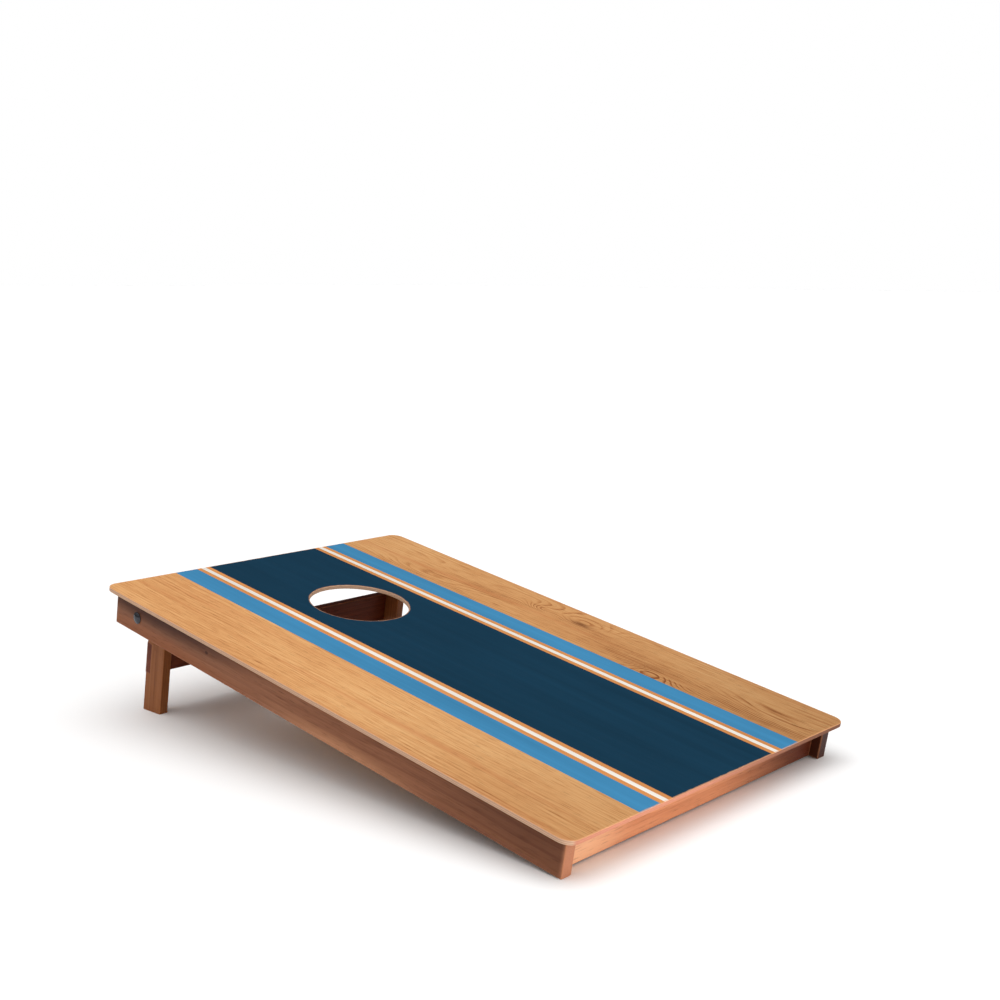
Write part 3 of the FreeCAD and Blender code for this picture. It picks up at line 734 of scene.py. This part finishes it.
def rounded_ring(name, node, outward, bore, edge):
    """A flat ring with rounded edges, such as a stamped washer, in the box of its CAD node."""
    low, high = deck_box(node)
    middle = (low + high) / 2
    radius = (high.y - low.y) / 2
    thickness = high.x - low.x
    start = Vector((high.x if outward > 0 else low.x, middle.y, middle.z))
    turned = Turned(start, X_AXIS * -outward, RING_SIDES)
    corners = (
        (thickness, radius, -1, -1),
        (thickness, bore, -1, 1),
        (0.0, bore, 1, 1),
        (0.0, radius, 1, -1),
    )
    rings = []
    for number, (travel, wide, inward_travel, inward_wide) in enumerate(corners):
        for i in range(5):
            turn = math.pi / 8 * (i if number % 2 == 0 else 4 - i)
            along = travel + inward_travel * edge * (1 - math.sin(turn))
            across = wide + inward_wide * edge * (1 - math.cos(turn))
            rings.append(turned.ring(along, across))
    piece = skinned(name, rings)
    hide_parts(node)
    return piece


SCREW_HEAD_RADIUS = 0.0038
SCREW_HEAD_HEIGHT = 0.0023
SCREW_RADIUS = 0.002
SCREW_PITCH = 0.0018
SCREW_POINT = 0.005
RECESS_DEPTH = 0.0015
RECESS_REACH = 0.0021
RECESS_HALF_WIDTH = 0.00052
RECESS_WALL = 0.00012
RECESS_END_SLOPE = 0.0011
SCREW_FACE_RINGS = 18
SCREW_FACE_EDGE = 0.0002
SCREW_STEPS_PER_TURN = 8


def recess(radius, angle):
    """Depth of a cross recess in a screw head at a place on its face."""
    along = radius * max(abs(math.cos(angle)), abs(math.sin(angle)))
    aside = radius * min(abs(math.cos(angle)), abs(math.sin(angle)))
    arm = max(0.0, min(1.0, (RECESS_HALF_WIDTH - aside) / RECESS_WALL))
    reach = max(0.0, min(1.0, (RECESS_REACH - along) / RECESS_END_SLOPE))
    return RECESS_DEPTH * arm * reach


def wood_screw(name, start, direction, length):
    """A countersunk screw with a cross recess and a coarse thread."""
    turned = Turned(start, direction, 64)
    rings = []
    for i in range(1, SCREW_FACE_RINGS + 1):
        radius = (SCREW_HEAD_RADIUS - SCREW_FACE_EDGE) * i / SCREW_FACE_RINGS
        rings.append(turned.ring(lambda angle, r=radius: recess(r, angle), radius))
    rings.append(turned.ring(SCREW_FACE_EDGE, SCREW_HEAD_RADIUS))
    rings.append(turned.ring(SCREW_FACE_EDGE * 2, SCREW_HEAD_RADIUS - SCREW_FACE_EDGE / 2))
    core = SCREW_RADIUS * 0.72
    rings.append(turned.ring(SCREW_HEAD_HEIGHT, core))
    thread_start = SCREW_HEAD_HEIGHT + 0.001
    steps = int((length - thread_start) / SCREW_PITCH * SCREW_STEPS_PER_TURN)
    for i in range(steps):
        travel = thread_start + (length - thread_start) * i / steps
        taper = min(1.0, (length - travel) / SCREW_POINT)

        def thread(angle, t=travel, k=taper):
            return k * thread_radius(t, angle, SCREW_PITCH, SCREW_RADIUS, core)

        rings.append(turned.ring(travel, thread))
    return skinned(name, rings, turned.point(RECESS_DEPTH), turned.point(length))


def screw_set(name, node, direction_of):
    """All the screws of one CAD node as one piece. direction_of gives each screw's direction."""
    screws = []
    for number, (low, high) in enumerate(solid_boxes(node)):
        direction = direction_of((low + high) / 2)
        half = (high - low) / 2
        reach = abs(half.dot(direction))
        start = (low + high) / 2 - direction * reach
        screws.append(wood_screw(f"{name}_{number}", start, direction, 2 * reach))
    whole = bmesh.new()
    for screw in screws:
        whole.from_mesh(screw.data)
    piece = screws[0]
    piece.name = name
    whole.to_mesh(piece.data)
    whole.free()
    for screw in screws[1:]:
        bpy.data.objects.remove(screw)
    piece.data.set_sharp_from_angle(angle=SHARP_EDGE)
    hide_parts(node)
    return piece


# ---------------------------------------------------------------- dress the CAD nodes

STAIN = (paint(159, 108, 79), paint(142, 92, 65), paint(123, 76, 52), paint(92, 52, 35))
LEG_STAIN = (paint(156, 98, 57), paint(139, 83, 45), paint(116, 65, 32), paint(84, 43, 21))
# The rail stain made paler with painted light, for the front rail and the leg blocks, whose front faces
# meet the front lamp.
STAIN_PAINTED_LIT = (paint(206, 144, 104), paint(194, 127, 89), paint(176, 110, 74), paint(134, 76, 48))
# The rail stain made darker with painted shade, for the far rail and the crossbar, which lie in the board's
# shade under the deck.
STAIN_PAINTED_SHADED = (paint(128, 68, 42), paint(108, 52, 32), paint(88, 40, 24), paint(60, 26, 16))
PALE = (paint(226, 182, 132), paint(210, 162, 112), paint(188, 138, 92), paint(150, 100, 62))

PAINTED_SHADE_BROWN = paint(66, 33, 20)
PAINTED_SHADE_RED = paint(76, 27, 13)
PAINTED_FLOOR_LIGHT = paint(192, 136, 98)
PAINTED_FLOOR_LIGHT_WARM = paint(138, 78, 44)
PAINTED_DEEP_SHADE = paint(52, 22, 12)
PAINTED_LIT_END_GRAIN = paint(172, 114, 84)
PAINTED_LIGHT_PALE = paint(232, 184, 144)

# Patches of painted shade and painted light on a board, as (middle, half size, strength, colour) in its
# grain frame.
# Each is painted shade where it darkens the wood and painted light where it pales it, not the wood's own
# colour.
# Near side rail: painted shade under the deck's overhang darkens its top, painted floor light pales its
# lower part, and painted light from the front lamp pales its front end face.
SIDE_RAIL_PAINTED_LIGHT_AND_SHADE = (
    ((0.0, 0.330, 0.026), (0.060, 0.260, 0.034), 0.96, PAINTED_SHADE_BROWN),
    ((0.0, -0.400, 0.012), (0.060, 0.220, 0.050), 0.45, PAINTED_SHADE_BROWN),
    ((0.0, 0.320, -0.024), (0.060, 0.240, 0.020), 0.70, PAINTED_FLOOR_LIGHT_WARM),
    ((0.0, -0.060, -0.026), (0.060, 0.180, 0.022), 0.60, PAINTED_FLOOR_LIGHT),
    ((0.0, -0.440, 0.0), (0.060, 0.010, 0.060), 0.95, PAINTED_LIT_END_GRAIN),
)
# Far side rail: painted shade darkens its front end.
FAR_RAIL_PAINTED_SHADE = (((0.0, -0.430, 0.0), (0.060, 0.140, 0.060), 0.92, PAINTED_DEEP_SHADE),)
# Front rail: painted light from the front lamp pales its near end, and painted shade darkens its far end.
FRONT_RAIL_PAINTED_LIGHT_AND_SHADE = (
    ((0.0, -0.270, 0.0), (0.090, 0.120, 0.090), 0.55, PAINTED_LIGHT_PALE),
    ((0.0, 0.330, 0.0), (0.110, 0.290, 0.110), 0.97, PAINTED_SHADE_RED),
)

# Small knots, as (middle, size) in the grain frame.
SIDE_RAIL_KNOTS = (((-0.009, 0.215, 0.006), 0.0035),)

WOODEN = (
    # node, grain, tones, ring spacing, pith place, knots, painted light and shade patches
    ("side_rail_left", GRAIN_Y, STAIN, 0.008, (0.030, 0.020), SIDE_RAIL_KNOTS, SIDE_RAIL_PAINTED_LIGHT_AND_SHADE),
    ("side_rail_right", GRAIN_Y, STAIN_PAINTED_SHADED, 0.008, (-0.034, 0.026), (), FAR_RAIL_PAINTED_SHADE),
    ("front_rail", GRAIN_X, STAIN_PAINTED_LIT, 0.009, (0.042, -0.030), (), FRONT_RAIL_PAINTED_LIGHT_AND_SHADE),
    ("rear_rail", GRAIN_X, STAIN, 0.008, (-0.040, 0.030), (), ()),
    ("leg_left", GRAIN_Z, LEG_STAIN, 0.005, (0.026, -0.020), (), ()),
    ("leg_right", GRAIN_Z, LEG_STAIN, 0.005, (-0.030, 0.016), (), ()),
    ("leg_crossbar", GRAIN_X, STAIN_PAINTED_SHADED, 0.006, (0.030, -0.026), (), ()),
    ("leg_block_left", GRAIN_Y, STAIN_PAINTED_LIT, 0.005, (0.024, 0.022), (), ()),
    ("leg_block_right", GRAIN_Y, STAIN_PAINTED_LIT, 0.005, (-0.024, 0.026), (), ()),
    ("corner_dowels", GRAIN_X, PALE, 0.004, (0.020, 0.020), (), ()),
)


def dress(node, material):
    """Gives a CAD node its material."""
    slots = frame["nodes"][node].data.materials
    slots.clear()
    slots.append(material)


for number, (node, grain, tones, ring, pith, knots, painted_patches) in enumerate(WOODEN, start=1):
    dress(node, solid_wood(f"{node}_wood", node, grain, tones, number, ring, pith, knots, painted_patches))
dress("deck_panel", printed_plywood())

BLACK_STEEL = metal("black_steel", paint(86, 87, 92), paint(44, 44, 48), 0.85, 0.11, 0.22, 0.5)
ZINC_STEEL = metal("zinc_steel", paint(206, 209, 214), paint(176, 178, 176), 1.0, 0.22, 0.42, -0.25)
NYLON = nylon()


def mount(piece, body, slot, material):
    """Hangs a new piece on its body, with its material."""
    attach(piece, body)
    piece.data.materials.append(material)


for outward, side in ((-1, "left"), (1, "right")):
    bolt = carriage_bolt(f"carriage_bolt_{side}", f"pivot_bolt_{side}", outward)
    mount(bolt, "board", "black_steel", BLACK_STEEL)
    nut = lock_nut(f"hex_lock_nut_{side}", f"lock_nut_{side}", f"nut_insert_{side}", outward)
    mount(nut, "board", "zinc_steel", ZINC_STEEL)
    ring = rounded_ring(f"nylon_ring_{side}", f"nut_insert_{side}", outward, NYLON_BORE, NYLON_EDGE)
    mount(ring, "board", "nylon", NYLON)
    for role in ("spacer", "clamp"):
        name = f"{role}_plain_washer_{side}"
        washer = rounded_ring(name, f"{role}_washer_{side}", outward, WASHER_BORE, WASHER_EDGE)
        mount(washer, "board", "zinc_steel", ZINC_STEEL)


def outward_from_middle(middle):
    return X_AXIS * math.copysign(1, middle.x)


def towards_front(_):
    return -Y_AXIS


block_screws = screw_set("block_wood_screws", "block_screws", outward_from_middle)
mount(block_screws, "board", "zinc_steel", ZINC_STEEL)
crossbar_screws = screw_set("crossbar_wood_screws", "crossbar_screws", towards_front)
mount(crossbar_screws, "leg_frame", "zinc_steel", ZINC_STEEL)

# ---------------------------------------------------------------- floor, light and camera

FLOOR_HALF = 60.0
FLOOR_TONES = (paint(251, 251, 251), paint(248, 248, 248))
SKY_AT_HORIZON = 0.28
SKY_OVERHEAD = 2.26
# The sky dims to FLAGGED of its light as it nears FLAG_DIRECTION, between these two cosines.
FLAG_DIRECTION = (0.72, 0.69, 0.0)
FLAG_STARTS = 0.15
FLAG_FULL = 0.80
FLAGGED = 0.15


def build_floor():
    """A wide pale floor, plain but for a very faint unevenness."""
    mesh = bmesh.new()
    corners = ((-1, -1), (1, -1), (1, 1), (-1, 1))
    mesh.faces.new([mesh.verts.new((x * FLOOR_HALF, y * FLOOR_HALF, 0)) for x, y in corners])
    data = bpy.data.meshes.new("floor")
    mesh.to_mesh(data)
    mesh.free()
    floor = bpy.data.objects.new("floor", data)
    bpy.context.scene.collection.objects.link(floor)
    shader = Shader("floor_paint")
    place = shader.add("ShaderNodeTexCoord").outputs["Object"]
    cloud = shader.noise(shader.vector("MULTIPLY", place, (3, 3, 3)), 3)
    colour = shader.mix(cloud, *FLOOR_TONES)
    shader.surface.inputs["Specular IOR Level"].default_value = 0.0
    roughness = shader.total((cloud, 0.1), (1.0, 0.75))
    data.materials.append(shader.finish(colour, roughness, cloud, 0.0001))


def build_sky():
    """Soft light, strongest overhead and dimmed on the far side. The backdrop itself shows as white."""
    world = bpy.data.worlds.new("studio")
    bpy.context.scene.world = world
    world.use_nodes = True
    tree = world.node_tree
    background = tree.nodes["Background"]
    background.inputs["Color"].default_value = (1.0, 1.0, 1.0, 1.0)
    direction = tree.nodes.new("ShaderNodeTexCoord").outputs["Generated"]
    split = tree.nodes.new("ShaderNodeSeparateXYZ")
    tree.links.new(direction, split.inputs[0])
    square = tree.nodes.new("ShaderNodeMath")
    square.operation = "MULTIPLY"
    tree.links.new(split.outputs["Z"], square.inputs[0])
    tree.links.new(split.outputs["Z"], square.inputs[1])
    light = tree.nodes.new("ShaderNodeMapRange")
    light.inputs["To Min"].default_value = SKY_AT_HORIZON
    light.inputs["To Max"].default_value = SKY_OVERHEAD
    tree.links.new(square.outputs[0], light.inputs["Value"])
    toward = tree.nodes.new("ShaderNodeVectorMath")
    toward.operation = "DOT_PRODUCT"
    toward.inputs[1].default_value = FLAG_DIRECTION
    tree.links.new(direction, toward.inputs[0])
    flag = tree.nodes.new("ShaderNodeMapRange")
    flag.interpolation_type = "SMOOTHSTEP"
    flag.inputs["From Min"].default_value = FLAG_STARTS
    flag.inputs["From Max"].default_value = FLAG_FULL
    flag.inputs["To Min"].default_value = 1.0
    flag.inputs["To Max"].default_value = FLAGGED
    tree.links.new(toward.outputs["Value"], flag.inputs["Value"])
    shaded = tree.nodes.new("ShaderNodeMath")
    shaded.operation = "MULTIPLY"
    tree.links.new(light.outputs["Result"], shaded.inputs[0])
    tree.links.new(flag.outputs["Result"], shaded.inputs[1])
    seen = tree.nodes.new("ShaderNodeLightPath").outputs["Is Camera Ray"]
    strength = tree.nodes.new("ShaderNodeMapRange")
    strength.inputs["To Max"].default_value = 1.0
    tree.links.new(shaded.outputs[0], strength.inputs["To Min"])
    tree.links.new(seen, strength.inputs["Value"])
    tree.links.new(strength.outputs["Result"], background.inputs["Strength"])


def softbox(name, place, target, width, height, power):
    """A rectangular area light that looks at a target."""
    light = bpy.data.lights.new(name, "AREA")
    light.shape = "RECTANGLE"
    light.size = width
    light.size_y = height
    light.energy = power
    lamp = bpy.data.objects.new(name, light)
    lamp.location = place
    lamp.rotation_mode = "QUATERNION"
    lamp.rotation_quaternion = (Vector(target) - Vector(place)).to_track_quat("-Z", "Y")
    bpy.context.scene.collection.objects.link(lamp)


CAMERA_PLACE = Vector((-1.4356, -1.3495, 0.6553))
CAMERA_HEADING = math.radians(46.15)
CAMERA_PITCH = math.radians(-9.55)
CAMERA_ROLL = math.radians(0.28)
CAMERA_LENS = 51.19
CAMERA_SHIFT = (0.0534, 0.0133)


def build_camera():
    """Stands near the low front end, left of the board, and looks along and a little down."""
    camera = bpy.data.cameras.new("camera")
    camera.sensor_width = 36
    camera.lens = CAMERA_LENS
    camera.shift_x, camera.shift_y = CAMERA_SHIFT
    camera.clip_start = 0.05
    camera.clip_end = 100
    stand = bpy.data.objects.new("camera", camera)
    heading = Matrix.Rotation(-CAMERA_HEADING, 4, "Z")
    pitch = Matrix.Rotation(math.radians(90) + CAMERA_PITCH, 4, "X")
    roll = Matrix.Rotation(CAMERA_ROLL, 4, "Z")
    turn = heading @ pitch @ roll
    stand.matrix_world = Matrix.Translation(CAMERA_PLACE) @ turn
    bpy.context.scene.collection.objects.link(stand)
    bpy.context.scene.camera = stand


build_floor()
build_sky()
softbox("overhead", (-0.1, 0.4, 3.2), (0.0, 0.1, 0.1), 2.6, 2.6, 8)
softbox("front", (-0.12, -1.00, 0.030), (-0.14, -0.42, 0.028), 0.34, 0.05, 2.45)
build_camera()
bpy.context.scene.view_settings.view_transform = "Standard"
